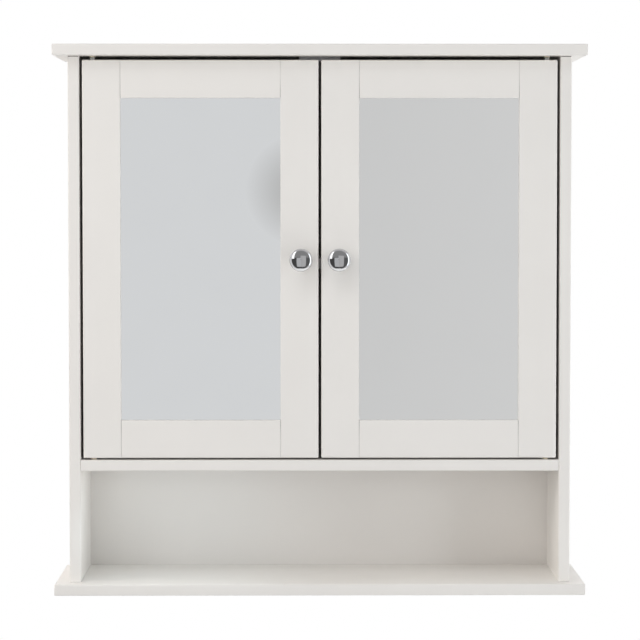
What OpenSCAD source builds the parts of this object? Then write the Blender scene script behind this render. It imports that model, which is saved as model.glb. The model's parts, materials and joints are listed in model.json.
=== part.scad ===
// Hanging wall cabinet: two mirrored frame doors over an open niche.
// X runs to the right, Y towards the wall and Z up. The origin lies on the wall,
// midway between the two screw holes of the hanging rail.

/* [Carcass] */
// Width across the top and bottom boards
cabinet_w = 560; // [480:5:700]
// Height over the top and bottom boards
cabinet_h = 580; // [520:5:720]
// Depth from the wall to the front of the top and bottom boards
cabinet_d = 130; // [120:1:180]
// Thickness of the carcass boards and shelves
board_t = 12; // [11:0.5:16]
// How far the top and bottom boards stand out past the sides and the doors
overhang = 15; // [5:1:24]
// Clear height of the open niche below the doors
niche_h = 118; // [90:1:180]
// Cut-back of the long edges of the boards
board_ease = 0.8; // [0.3:0.1:1.5]
// Cut-back of board ends that butt against another board
butt_ease = 0.3; // [0.1:0.1:0.6]

/* [Back and hanging] */
// Thickness of the back panel
back_t = 3; // [2:0.5:4]
// Width of the rebates that hold the back panel's edges
rebate_w = 6; // [4:0.5:8]
// Gap between the back panel's edges and its rebates
panel_gap = 0.5; // [0.2:0.1:1]
// Height of the hanging rail
rail_h = 50; // [44:1:80]
// Diameter of the two wall screw holes
wall_hole_d = 5.5; // [4:0.5:7]
// Distance of each wall screw hole from the side next to it
wall_hole_in = 53; // [40:1:120]
// Number of nails in each row through the back panel
nail_count = 5; // [2:1:9]
// Diameter of a back nail
nail_d = 1.2; // [1:0.1:1.6]
// Diameter of a back nail's head
nail_head_d = 3; // [2.4:0.1:4]

/* [Inner shelf] */
// Height of the inner shelf's underside over the divider
shelf_up = 201; // [120:1:230]
// Distance from the back of the doors to the shelf's front edge
shelf_setback = 10; // [8:1:30]
// Gap between the shelf's ends and the sides
shelf_gap = 0.5; // [0.2:0.1:1]
// Diameter of the shelf pins
shelf_pin_d = 5; // [4:0.5:6]
// Depth that the shelf pins reach into the sides
shelf_pin_in = 8; // [6:0.5:9]
// Length of the flat paddle that carries the shelf
paddle_l = 8; // [5:0.5:14]
// Pitch of the shelf pin holes
hole_pitch = 32; // [20:1:40]
// Shelf pin holes above and below the one in use
hole_steps = 2; // [0:1:3]

/* [Doors] */
// Thickness of the doors
door_t = 15; // [13:0.5:18]
// Gap between the two doors
door_gap_mid = 3; // [2:0.5:5]
// Gap between the doors and the top board
door_gap_top = 4; // [3:0.5:6]
// Gap between the doors and the divider
door_gap_low = 2; // [1.8:0.1:4]
// Width of the upright stiles
stile_w = 40; // [34:1:60]
// Width of the top and bottom rails
rail_w = 40; // [34:1:60]
// Frame thickness in front of the mirror
front_lip = 4; // [3:0.5:5]
// Depth of the groove that holds the mirror and the rail tenons
groove_d = 8; // [6:0.5:10]
// Thickness of the mirror glass
glass_t = 3; // [2:0.5:3]
// Thickness of the panel behind the mirror
panel_t = 3; // [2:0.5:3]
// Gap between the panes and the bottom of their groove
pane_gap = 1; // [0.5:0.1:2]
// Cut-back of the doors' outer edges
door_ease = 1; // [0.4:0.1:1.5]
// Cut-back of the edges where stiles, rails and mirror meet
joint_ease = 0.3; // [0.1:0.05:0.6]

/* [Knobs] */
// Diameter of the knob
knob_d = 24; // [20:1:32]
// Height of the knob over the door
knob_h = 25; // [20:1:32]
// Diameter of the knob's domed face
knob_face_d = 18.6; // [12:0.2:19]
// Diameter of the knob's foot
knob_foot_d = 13; // [10:0.5:18]
// Diameter of the knob's neck
knob_neck_d = 9; // [7:0.5:10]
// Distance from the door's free edge to the knob's centre
knob_in = 18.5; // [15:0.5:22]
// Diameter of the knob screw
knob_screw_d = 4; // [3:0.5:5]
// Depth of the knob screw in the knob
knob_screw_in = 10; // [6:0.5:12]

/* [Pivot hinges] */
// Distance from the door's hinge edge to the pivot pins
pivot_in = 10.5; // [9:0.5:14]
// Diameter of the pivot pins
pivot_d = 3; // [2.5:0.5:4]
// Depth of the pivot pins in the door
pivot_in_door = 16; // [10:1:24]
// Diameter of the pins' collars and the bushes' flanges
collar_d = 6.4; // [6.2:0.2:9]
// Outer diameter of the bushes
bush_d = 5.4; // [5:0.2:6]
// Depth of the bushes in the boards
bush_len = 8; // [5:0.5:9]
// Thickness of the bushes' flanges
flange_t = 1; // [0.6:0.1:1.4]
// Free play over the top pin's collar
play_top = 0.4; // [0.2:0.1:1]
// Free play under the bottom pin's collar
play_low = 0.1; // [0.05:0.05:0.3]
// Clearance of the turning door corner to the side
swing_clear = 0.6; // [0.3:0.1:2]

/* [Magnetic catch] */
// Width of the catch housing
catch_w = 44.5; // [43:0.5:60]
// Depth of the catch housing
catch_d = 15; // [14:0.5:24]
// Wall under the catch magnets
catch_wall = 1.3; // [1:0.1:3]
// Width of each magnet
magnet_w = 10; // [6:0.5:10]
// Depth of each magnet
magnet_l = 8; // [5:0.5:10]
// Thickness of each magnet
magnet_t = 4; // [2:0.5:4.5]
// Thickness of the pole plates
pole_t = 1.2; // [0.8:0.1:1.5]
// How far the pole plates stand out of the housing
pole_out = 0.6; // [0.2:0.1:1]
// Gap between the pole plates and the closed doors' strike plates
pull_gap = 0.2; // [0.1:0.1:0.5]
// Width of the strike plates
strike_w = 20; // [18:0.5:24]
// Height of the strike plates
strike_h = 10; // [9:0.5:14]
// Thickness of the strike plates
strike_t = 1; // [0.8:0.1:1.5]
// Diameter of the catch and strike screws
small_screw_d = 2.6; // [2:0.2:3]

/* [Joinery] */
// Distance of the outer fittings from the front and back of the sides
fitting_in = 30; // [22:1:36]
// Distance from a board's end to the cam locks
cam_in = 24; // [20:1:28]
// Diameter of the cam locks
cam_d = 12; // [10:0.5:15]
// Diameter of the cam bolts' threaded ends
bolt_thread_d = 5; // [4:0.5:6]
// Depth of the cam bolts' threaded ends
bolt_thread_in = 9; // [7:0.5:9.5]
// Diameter of the cam bolts' heads
bolt_head_d = 5; // [4.4:0.2:5.4]
// Diameter of the cam bolts' shanks
bolt_shank_d = 3.6; // [3:0.2:4]
// Diameter of the dowels
dowel_d = 6; // [5:0.5:7]
// Depth of the dowels' short ends
dowel_short = 8; // [6:0.5:9]
// Depth of the dowels' long ends
dowel_long = 20; // [14:1:26]
// Diameter of the screws up through the bottom board
screw_d = 4.5; // [3.5:0.5:5]
// Length of the bottom screws inside the sides
screw_bite = 38; // [25:1:50]

/* [Clearances] */
// Radial clearance of fixed round pieces in their holes
fit = 0.05; // [0.03:0.01:0.1]
// Radial clearance of pieces that slide in when the cabinet is assembled
slide_fit = 0.3; // [0.1:0.05:0.5]
// Spare depth below pieces in blind holes
end_gap = 0.3; // [0.1:0.1:0.5]

/* [Hidden] */
$fn = 48;

// Colours
paint = [0.88, 0.865, 0.845];
hardboard = [0.80, 0.78, 0.755];
mirror_glass = [0.80, 0.81, 0.82];
bright_metal = [0.62, 0.62, 0.63];
zinc = [0.70, 0.70, 0.68];
nylon = [0.88, 0.84, 0.72];
plastic = [0.84, 0.84, 0.83];
magnet_grey = [0.22, 0.21, 0.21];
beech = [0.80, 0.66, 0.46];

// Depth of cuts that start outside a face
over = 1;

// Levels
top_z = rail_h / 2;
floor_z = top_z + board_t - cabinet_h;
niche_z = floor_z + board_t;
divider_z = niche_z + niche_h;
closed_z = divider_z + board_t;
shelf_z = closed_z + shelf_up;

// Across the width and the depth
side_out_x = cabinet_w / 2 - overhang;
side_in_x = side_out_x - board_t;
side_mid_x = side_in_x + board_t / 2;
front_y = -cabinet_d;
side_front_y = front_y + overhang;
wall_hole_x = side_in_x - wall_hole_in;
rail_mid_y = -back_t - board_t / 2;

// Doors
pane_t = glass_t + panel_t;
corner_r = norm([pivot_in, door_t / 2]);
door_gap_side = corner_r - pivot_in + swing_clear;
door_in_x = door_gap_mid / 2;
door_out_x = side_in_x - door_gap_side;
door_low_z = closed_z + door_gap_low;
door_top_z = top_z - door_gap_top;
door_mid_z = (door_low_z + door_top_z) / 2;
door_front_y = side_front_y;
door_back_y = door_front_y + door_t;
groove_y = door_front_y + front_lip;
groove_t = pane_t + 2 * fit;
open_in_x = door_in_x + stile_w;
open_out_x = door_out_x - stile_w;
open_low_z = door_low_z + rail_w;
open_top_z = door_top_z - rail_w;
knob_x = door_in_x + knob_in;

// Pivots
pivot_x = door_out_x - pivot_in;
pivot_y = door_front_y + door_t / 2;
pin_tip = bush_len - end_gap;
collar_top_t = door_gap_top - flange_t - play_top;
collar_low_t = door_gap_low - flange_t - play_low;

// Catch
strike_in = 2;
strike_x = door_in_x + strike_in;
strike_top_z = door_top_z - door_ease;
strike_hole_in = 4.5;
strike_hole_x = strike_x + strike_w - strike_hole_in;
stack_t = magnet_t + 2 * pole_t;
stack_z = strike_top_z - end_gap - stack_t;
catch_low_z = stack_z - catch_wall;
pole_front_y = door_back_y + strike_t + pull_gap;
catch_front_y = pole_front_y + pole_out;
magnet_x = strike_x + 1;
catch_hole_x = (catch_w / 2 + magnet_x + magnet_w) / 2;
catch_hole_y = catch_front_y + catch_d / 2;
small_head_d = 1.9 * small_screw_d;
catch_screw_in = 9;
strike_screw_in = 9;

// Joinery
fitting_ys = [side_front_y + fitting_in, -fitting_in];
dowel_y = (fitting_ys[0] + fitting_ys[1]) / 2;
rail_dowel_z = 16;
screw_head_d = 1.9 * screw_d;
cam_floor = 0.5;
cam_sink = 0.2;
cam_slot_d = bolt_head_d + 2 * slide_fit;
cam_h = board_t / 2 + cam_slot_d / 2 + cam_floor;
shelf_front_y = door_back_y + shelf_setback;
shelf_back_y = -back_t - 1;
paddle_w = shelf_pin_d + 3;
paddle_t = shelf_pin_d + 1;
shelf_pin_inset = 16;
shelf_pin_ys = [shelf_front_y + shelf_pin_inset, shelf_back_y - shelf_pin_inset];
nail_len = 14;
nail_head_t = 0.6;
nail_edge = 60;
nail_row_zs = [divider_z + board_t / 2, -rail_h / 4];

// Points along an arc from angle a0 to angle a1
function arc(centre, r, a0, a1, n) =
    [for (i = [0:n]) let (a = a0 + (a1 - a0) * i / n) centre + r * [cos(a), sin(a)]];

// Four equal corner cuts
function all4(e) = [e, e, e, e];

// Rectangle with its corners cut back: lower left, lower right, upper right, upper left
module eased_rect(w, h, e) {
    polygon([
        [0, e[0]], [e[0], 0], [w - e[1], 0], [w, e[1]],
        [w, h - e[2]], [w - e[2], h], [e[3], h], [0, h - e[3]]
    ]);
}

// Block between two corners. ex, ey and ez are the cuts of the edges along X, Y and Z
module eased_block(lo, hi, ex, ey, ez) {
    s = hi - lo;
    translate(lo) intersection() {
        rotate([90, 0, 90]) linear_extrude(s.x) eased_rect(s.y, s.z, ex);
        translate([0, s.y, 0]) rotate([90, 0, 0]) linear_extrude(s.y) eased_rect(s.x, s.z, ey);
        linear_extrude(s.z) eased_rect(s.x, s.y, ez);
    }
}

module block(lo, hi) {
    translate(lo) cube(hi - lo);
}

module both_sides() {
    children();
    mirror([1, 0, 0]) children();
}

// Turns a right-hand piece into the one for the stated side
module on(side) {
    mirror([side == "left" ? 1 : 0, 0, 0]) children();
}

// Hole for a piece of diameter d, drilled along +Z from just outside the face at Z = 0
module drilled(d, depth) {
    translate([0, 0, -over]) cylinder(d = d + 2 * fit, h = depth + end_gap + over);
}

// Frames at the joints between boards: the bolt or dowel runs along +Z into the board
// that holds the cam, and the cam's pocket opens towards +X
module at_top_joint(y) {
    translate([side_mid_x, y, top_z]) rotate([0, 180, 0]) children();
}

module at_divider_joint(y) {
    translate([side_in_x, y, divider_z + board_t / 2])
        rotate([0, -90, 0]) rotate([0, 0, 180]) children();
}

module at_rail_joint(z) {
    translate([side_in_x, rail_mid_y, z]) rotate([0, -90, 0]) rotate([0, 0, -90]) children();
}

module at_bottom_joint(y) {
    translate([side_mid_x, y, niche_z]) children();
}

module at_all_cams() {
    both_sides() {
        for (y = fitting_ys) at_top_joint(y) children();
        for (y = fitting_ys) at_divider_joint(y) children();
        at_rail_joint(0) children();
    }
}

// Cuts for one cam fitting: the thread's hole, and the pocket with the bolt's bore
module bolt_hole() {
    rotate([180, 0, 0]) drilled(bolt_thread_d, bolt_thread_in);
}

module cam_hole() {
    translate([0, 0, -over]) cylinder(d = cam_slot_d, h = cam_in + over);
    translate([board_t / 2 + over, 0, cam_in])
        rotate([0, -90, 0]) cylinder(d = cam_d + 2 * fit, h = cam_h + end_gap + over);
}

// Cuts for one dowel: short end below the joint, long end above it
module dowel_hole_short() {
    rotate([180, 0, 0]) drilled(dowel_d, dowel_short);
}

module dowel_hole_long() {
    drilled(dowel_d, dowel_long);
}

// Countersunk screw with its head's face at Z = 0 and its tip along +Z
module countersunk_screw(d, head_d, length) {
    cone_h = (head_d - d) / 2;
    tip_h = d / 2;
    slot_w = d / 5;
    difference() {
        rotate_extrude() polygon([
            [0, 0], [head_d / 2, 0], [d / 2, cone_h], [d / 2, length - tip_h], [0, length]
        ]);
        for (a = [0, 90]) rotate(a) translate([-d / 2, -slot_w / 2, -over]) cube([d, slot_w, d / 3 + over]);
    }
}

module countersunk_hole(d, head_d, length) {
    cone_h = (head_d - d) / 2;
    translate([0, 0, -over]) cylinder(d = head_d + 2 * fit, h = over);
    cylinder(d1 = head_d + 2 * fit, d2 = d + 2 * fit, h = cone_h);
    drilled(d, length);
}

// Rebate for the back panel, seen from the front
module back_recess() {
    block([-side_in_x - rebate_w, -back_t, niche_z - rebate_w],
        [side_in_x + rebate_w, over, top_z + rebate_w]);
}

module wall_holes() {
    for (s = [-1, 1]) translate([s * wall_hole_x, over, 0])
        rotate([90, 0, 0]) cylinder(d = wall_hole_d, h = back_t + board_t + 2 * over);
}

module at_nails() {
    span = 2 * (side_in_x - nail_edge);
    for (z = nail_row_zs, i = [0:nail_count - 1])
        translate([-span / 2 + span * i / (nail_count - 1), 0, z]) rotate([90, 0, 0]) children();
}

module nail_hole() {
    drilled(nail_head_d, nail_head_t - end_gap);
    drilled(nail_d, nail_len);
}

// Carcass

module top_board() {
    color(paint) difference() {
        eased_block([-cabinet_w / 2, front_y, top_z], [cabinet_w / 2, 0, top_z + board_t],
            all4(board_ease), all4(board_ease), all4(board_ease));
        back_recess();
        both_sides() {
            for (y = fitting_ys) at_top_joint(y) bolt_hole();
            at_top_joint(dowel_y) dowel_hole_short();
            translate([pivot_x, pivot_y, top_z]) drilled(bush_d, bush_len);
            translate([catch_hole_x, catch_hole_y, top_z]) drilled(small_screw_d, catch_screw_in);
        }
    }
}

module bottom_board() {
    color(paint) difference() {
        eased_block([-cabinet_w / 2, front_y, floor_z], [cabinet_w / 2, 0, niche_z],
            all4(board_ease), all4(board_ease), all4(board_ease));
        back_recess();
        both_sides() {
            for (y = fitting_ys) at_bottom_joint(y) bottom_screw_cut();
            at_bottom_joint(dowel_y) dowel_hole_short();
        }
    }
}

module side(hand) {
    color(paint) on(hand) difference() {
        eased_block([side_in_x, side_front_y, niche_z], [side_out_x, 0, top_z],
            all4(butt_ease), all4(butt_ease), all4(board_ease));
        back_recess();
        for (y = fitting_ys) {
            at_top_joint(y) cam_hole();
            at_divider_joint(y) bolt_hole();
            at_bottom_joint(y) bottom_screw_cut();
        }
        at_top_joint(dowel_y) dowel_hole_long();
        at_divider_joint(dowel_y) dowel_hole_short();
        at_bottom_joint(dowel_y) dowel_hole_long();
        at_rail_joint(0) bolt_hole();
        for (s = [-1, 1]) at_rail_joint(s * rail_dowel_z) dowel_hole_short();
        for (y = shelf_pin_ys, i = [-hole_steps:hole_steps])
            translate([side_in_x, y, shelf_z - paddle_t / 2 + i * hole_pitch])
                rotate([0, 90, 0]) drilled(shelf_pin_d, shelf_pin_in);
    }
}

module divider_shelf() {
    color(paint) difference() {
        eased_block([-side_in_x, side_front_y, divider_z], [side_in_x, -back_t, closed_z],
            all4(board_ease), all4(butt_ease), all4(butt_ease));
        both_sides() {
            for (y = fitting_ys) at_divider_joint(y) cam_hole();
            at_divider_joint(dowel_y) dowel_hole_long();
            translate([pivot_x, pivot_y, closed_z]) rotate([180, 0, 0]) drilled(bush_d, bush_len);
        }
        at_nails() nail_hole();
    }
}

module back_panel() {
    color(hardboard) difference() {
        block([-side_in_x - rebate_w + panel_gap, -back_t, niche_z - rebate_w + panel_gap],
            [side_in_x + rebate_w - panel_gap, 0, top_z + rebate_w - panel_gap]);
        wall_holes();
        at_nails() nail_hole();
    }
}

module hanging_rail() {
    color(paint) difference() {
        eased_block([-side_in_x, -back_t - board_t, top_z - rail_h], [side_in_x, -back_t, top_z],
            all4(board_ease), all4(butt_ease), all4(butt_ease));
        both_sides() {
            at_rail_joint(0) cam_hole();
            for (s = [-1, 1]) at_rail_joint(s * rail_dowel_z) dowel_hole_long();
        }
        wall_holes();
        at_nails() nail_hole();
    }
}

module inner_shelf() {
    color(paint) eased_block(
        [-side_in_x + shelf_gap, shelf_front_y, shelf_z],
        [side_in_x - shelf_gap, shelf_back_y, shelf_z + board_t],
        all4(board_ease), all4(butt_ease), all4(butt_ease));
}

module shelf_pins() {
    color(zinc) both_sides() for (y = shelf_pin_ys) {
        translate([side_in_x, y, shelf_z - paddle_t / 2])
            rotate([0, 90, 0]) cylinder(d = shelf_pin_d, h = shelf_pin_in);
        block([side_in_x - paddle_l, y - paddle_w / 2, shelf_z - paddle_t],
            [side_in_x, y + paddle_w / 2, shelf_z]);
    }
}

module cam_bolts() {
    head_h = 2;
    neck_h = 3;
    color(zinc) at_all_cams() rotate_extrude() polygon([
        [0, -bolt_thread_in], [bolt_thread_d / 2 - 1, -bolt_thread_in],
        [bolt_thread_d / 2, 1 - bolt_thread_in], [bolt_thread_d / 2, 0],
        [bolt_shank_d / 2, 0], [bolt_shank_d / 2, cam_in - neck_h],
        [bolt_shank_d / 4, cam_in - neck_h], [bolt_shank_d / 4, cam_in],
        [bolt_head_d / 2, cam_in], [bolt_head_d / 2, cam_in + head_h], [0, cam_in + head_h]
    ]);
}

module cam_locks() {
    slot_w = 1.4;
    slot_l = 0.6 * cam_d;
    slot_t = 1.6;
    color(zinc) at_all_cams() difference() {
        translate([board_t / 2 - cam_sink, 0, cam_in])
            rotate([0, -90, 0]) cylinder(d = cam_d, h = cam_h - cam_sink);
        cylinder(d = cam_slot_d, h = cam_in + cam_slot_d / 2);
        for (a = [0, 90]) translate([board_t / 2, 0, cam_in]) rotate([a, 0, 0])
            block([-cam_sink - slot_t, -slot_w / 2, -slot_l / 2], [over, slot_w / 2, slot_l / 2]);
    }
}

module dowel() {
    nose = 1;
    rotate_extrude() polygon([
        [0, -dowel_short], [dowel_d / 2 - nose, -dowel_short], [dowel_d / 2, nose - dowel_short],
        [dowel_d / 2, dowel_long - nose], [dowel_d / 2 - nose, dowel_long], [0, dowel_long]
    ]);
}

module dowels() {
    color(beech) both_sides() {
        at_top_joint(dowel_y) dowel();
        at_divider_joint(dowel_y) dowel();
        at_bottom_joint(dowel_y) dowel();
        for (s = [-1, 1]) at_rail_joint(s * rail_dowel_z) dowel();
    }
}

module bottom_screw_cut() {
    translate([0, 0, -board_t]) countersunk_hole(screw_d, screw_head_d, board_t + screw_bite);
}

module bottom_screws() {
    color(zinc) both_sides() for (y = fitting_ys)
        at_bottom_joint(y) translate([0, 0, -board_t])
            countersunk_screw(screw_d, screw_head_d, board_t + screw_bite);
}

module back_nails() {
    color(zinc) at_nails() {
        cylinder(d = nail_head_d, h = nail_head_t);
        cylinder(d = nail_d, h = nail_len);
    }
}

// Pivot hinges and catch on the carcass

module bush() {
    difference() {
        union() {
            cylinder(d = bush_d, h = bush_len);
            translate([0, 0, -flange_t]) cylinder(d = collar_d, h = flange_t);
        }
        translate([0, 0, -flange_t - over])
            cylinder(d = pivot_d + 2 * fit, h = flange_t + bush_len + 2 * over);
    }
}

module top_bushes() {
    color(nylon) both_sides() translate([pivot_x, pivot_y, top_z]) bush();
}

module bottom_bushes() {
    color(nylon) both_sides() translate([pivot_x, pivot_y, closed_z]) rotate([180, 0, 0]) bush();
}

// One magnet with its pole plates, grown by a clearance
module magnet_stack(clear) {
    block([magnet_x - clear, catch_front_y - over, stack_z],
        [magnet_x + magnet_w + clear, catch_front_y + magnet_l + clear, stack_z + stack_t]);
}

module catch_housing() {
    color(plastic) difference() {
        eased_block([-catch_w / 2, catch_front_y, catch_low_z],
            [catch_w / 2, catch_front_y + catch_d, top_z],
            all4(joint_ease), all4(joint_ease), all4(board_ease));
        both_sides() {
            magnet_stack(fit);
            translate([catch_hole_x, catch_hole_y, catch_low_z])
                countersunk_hole(small_screw_d, small_head_d, top_z - catch_low_z + catch_screw_in);
        }
    }
}

module catch_magnets() {
    color(magnet_grey) both_sides() block(
        [magnet_x, catch_front_y, stack_z + pole_t],
        [magnet_x + magnet_w, catch_front_y + magnet_l, stack_z + pole_t + magnet_t]);
}

module catch_pole_plates() {
    color(bright_metal) both_sides() for (z = [stack_z, stack_z + pole_t + magnet_t])
        block([magnet_x, pole_front_y, z], [magnet_x + magnet_w, catch_front_y + magnet_l, z + pole_t]);
}

module catch_screws() {
    color(zinc) both_sides() translate([catch_hole_x, catch_hole_y, catch_low_z])
        countersunk_screw(small_screw_d, small_head_d, top_z - catch_low_z + catch_screw_in);
}

// Doors

// Groove cut for the panes and the tenons, open towards the mirror
module groove(lo_x, hi_x, lo_z, hi_z) {
    block([lo_x, groove_y, lo_z], [hi_x, groove_y + groove_t, hi_z]);
}

module hinge_stile(hand) {
    color(paint) on(hand) difference() {
        eased_block([open_out_x, door_front_y, door_low_z], [door_out_x, door_back_y, door_top_z],
            all4(door_ease), [joint_ease, door_ease, door_ease, joint_ease],
            [joint_ease, door_ease, door_ease, joint_ease]);
        groove(open_out_x - over, open_out_x + groove_d, door_low_z - over, door_top_z + over);
        translate([pivot_x, pivot_y, door_top_z]) rotate([180, 0, 0]) drilled(pivot_d, pivot_in_door);
        translate([pivot_x, pivot_y, door_low_z]) drilled(pivot_d, pivot_in_door);
    }
}

module knob_stile(hand) {
    color(paint) on(hand) difference() {
        eased_block([door_in_x, door_front_y, door_low_z], [open_in_x, door_back_y, door_top_z],
            all4(door_ease), [door_ease, joint_ease, joint_ease, door_ease],
            [door_ease, joint_ease, joint_ease, door_ease]);
        groove(open_in_x - groove_d, open_in_x + over, door_low_z - over, door_top_z + over);
        translate([knob_x, door_front_y, door_mid_z])
            rotate([-90, 0, 0]) drilled(knob_screw_d, door_t + over);
        strike_screw_cut();
    }
}

// Rail with its outer edge at outer_z and its edge at the mirror at inner_z
module door_rail(outer_z, inner_z) {
    lo_z = min(outer_z, inner_z);
    hi_z = max(outer_z, inner_z);
    lo_ease = outer_z < inner_z ? door_ease : joint_ease;
    hi_ease = outer_z < inner_z ? joint_ease : door_ease;
    tenon_l = groove_d - pane_gap;
    tenon_lo_z = outer_z < inner_z ? lo_z + door_ease : lo_z + groove_d;
    tenon_hi_z = outer_z < inner_z ? hi_z - groove_d : hi_z - door_ease;
    groove_lo_z = outer_z < inner_z ? inner_z - groove_d : inner_z - over;
    groove_hi_z = outer_z < inner_z ? inner_z + over : inner_z + groove_d;
    difference() {
        eased_block([open_in_x, door_front_y, lo_z], [open_out_x, door_back_y, hi_z],
            [lo_ease, lo_ease, hi_ease, hi_ease], all4(joint_ease), all4(joint_ease));
        groove(open_in_x - over, open_out_x + over, groove_lo_z, groove_hi_z);
    }
    block([open_in_x - tenon_l, groove_y + fit, tenon_lo_z],
        [open_out_x + tenon_l, groove_y + groove_t - fit, tenon_hi_z]);
}

module top_rail(hand) {
    color(paint) on(hand) door_rail(door_top_z, open_top_z);
}

module bottom_rail(hand) {
    color(paint) on(hand) door_rail(door_low_z, open_low_z);
}

// One pane in the groove of the frame
module pane(near_y, thickness) {
    reach = groove_d - pane_gap;
    block([open_in_x - reach, near_y, open_low_z - reach],
        [open_out_x + reach, near_y + thickness, open_top_z + reach]);
}

module mirror_pane(hand) {
    color(mirror_glass) on(hand) pane(groove_y, glass_t);
}

module door_panel(hand) {
    color(hardboard) on(hand) pane(groove_y + glass_t, panel_t);
}

module knob(hand) {
    r = knob_d / 2;
    face_r = knob_face_d / 2;
    neck_r = knob_neck_d / 2;
    foot_t = 1.6;
    dome_h = 1.8;
    rim_h = 2.6;
    band_h = 0.8;
    head_h = 9;
    dome_r = (face_r * face_r + dome_h * dome_h) / (2 * dome_h);
    dome_a = asin(face_r / dome_r);
    cove_r = 4;
    color(bright_metal) on(hand) translate([knob_x, door_front_y, door_mid_z]) rotate([90, 0, 0])
        difference() {
            rotate_extrude() polygon(concat(
                [[0, 0], [knob_foot_d / 2, 0], [knob_foot_d / 2, foot_t / 2],
                    [knob_foot_d / 2 - foot_t / 2, foot_t], [neck_r, foot_t + 1]],
                arc([neck_r + cove_r, knob_h - head_h], cove_r, 180, 112, 6),
                [[r, knob_h - dome_h - rim_h - band_h], [r, knob_h - dome_h - rim_h]],
                [for (p = arc([0, 0], 1, 18, 72, 3))
                    [face_r + (r - face_r) * p.x, knob_h - dome_h - rim_h + rim_h * p.y]],
                arc([0, knob_h - dome_r], dome_r, 90 - dome_a, 90, 6)));
            drilled(knob_screw_d, knob_screw_in);
        }
}

module knob_screw(hand) {
    head_d = 2 * knob_screw_d;
    head_t = 2.4;
    slot_w = 1;
    color(zinc) on(hand) translate([knob_x, door_back_y, door_mid_z]) rotate([90, 0, 0])
        difference() {
            rotate_extrude() polygon([
                [0, -head_t], [head_d / 2 - 1, -head_t], [head_d / 2, 1 - head_t], [head_d / 2, 0],
                [knob_screw_d / 2, 0], [knob_screw_d / 2, door_t + knob_screw_in],
                [0, door_t + knob_screw_in]
            ]);
            for (a = [0, 90]) rotate(a) block(
                [-head_d / 3, -slot_w / 2, -head_t - over], [head_d / 3, slot_w / 2, -head_t / 2]);
        }
}

// Pivot pin with its collar on the door's edge at Z = 0
module pivot_pin(collar_t, reach) {
    nose = 0.4;
    rotate_extrude() polygon([
        [0, -pivot_in_door], [pivot_d / 2 - nose, -pivot_in_door],
        [pivot_d / 2, nose - pivot_in_door], [pivot_d / 2, 0], [collar_d / 2, 0],
        [collar_d / 2, collar_t], [pivot_d / 2, collar_t], [pivot_d / 2, reach - nose],
        [pivot_d / 2 - nose, reach], [0, reach]
    ]);
}

module top_pin(hand) {
    color(bright_metal) on(hand) translate([pivot_x, pivot_y, door_top_z])
        pivot_pin(collar_top_t, door_gap_top + pin_tip);
}

module bottom_pin(hand) {
    color(bright_metal) on(hand) translate([pivot_x, pivot_y, door_low_z])
        rotate([180, 0, 0]) pivot_pin(collar_low_t, door_gap_low + pin_tip);
}

// Frame of the strike screw, on the door's back with +Z into the door
module at_strike_screw() {
    translate([strike_hole_x, door_back_y, strike_top_z - strike_h / 2])
        rotate([90, 0, 0]) children();
}

module strike_screw_cut() {
    at_strike_screw() translate([0, 0, -strike_t])
        countersunk_hole(small_screw_d, small_head_d, strike_t + strike_screw_in);
}

module strike_plate(hand) {
    color(bright_metal) on(hand) difference() {
        block([strike_x, door_back_y, strike_top_z - strike_h],
            [strike_x + strike_w, door_back_y + strike_t, strike_top_z]);
        strike_screw_cut();
    }
}

module strike_screw(hand) {
    color(zinc) on(hand) at_strike_screw() translate([0, 0, -strike_t])
        countersunk_screw(small_screw_d, small_head_d, strike_t + strike_screw_in);
}

top_board();
bottom_board();
side("left");  // left_side
side("right");  // right_side
divider_shelf();
back_panel();
hanging_rail();
inner_shelf();
shelf_pins();
cam_bolts();
cam_locks();
dowels();
bottom_screws();
back_nails();
top_bushes();
bottom_bushes();
catch_housing();
catch_magnets();
catch_pole_plates();
catch_screws();
hinge_stile("left");  // left_hinge_stile
knob_stile("left");  // left_knob_stile
top_rail("left");  // left_top_rail
bottom_rail("left");  // left_bottom_rail
mirror_pane("left");  // left_mirror
door_panel("left");  // left_door_panel
knob("left");  // left_knob
knob_screw("left");  // left_knob_screw
top_pin("left");  // left_top_pin
bottom_pin("left");  // left_bottom_pin
strike_plate("left");  // left_strike_plate
strike_screw("left");  // left_strike_screw
hinge_stile("right");  // right_hinge_stile
knob_stile("right");  // right_knob_stile
top_rail("right");  // right_top_rail
bottom_rail("right");  // right_bottom_rail
mirror_pane("right");  // right_mirror
door_panel("right");  // right_door_panel
knob("right");  // right_knob
knob_screw("right");  // right_knob_screw
top_pin("right");  // right_top_pin
bottom_pin("right");  // right_bottom_pin
strike_plate("right");  // right_strike_plate
strike_screw("right");  // right_strike_screw
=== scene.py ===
"""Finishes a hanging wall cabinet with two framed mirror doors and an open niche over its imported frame.

Every place is read from the frame. The sizes and colours that a maker would change are properties of
the scene, shown in the Cabinet tab of the 3D view's sidebar.
"""
import json
from math import asin, cos, degrees, pi, radians, sin, tau

import bmesh
import bpy
from bpy.props import FloatProperty, FloatVectorProperty, IntProperty, PointerProperty
from bpy.types import NodeSocket, Operator, Panel, PropertyGroup
from mathutils import Matrix, Vector

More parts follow.
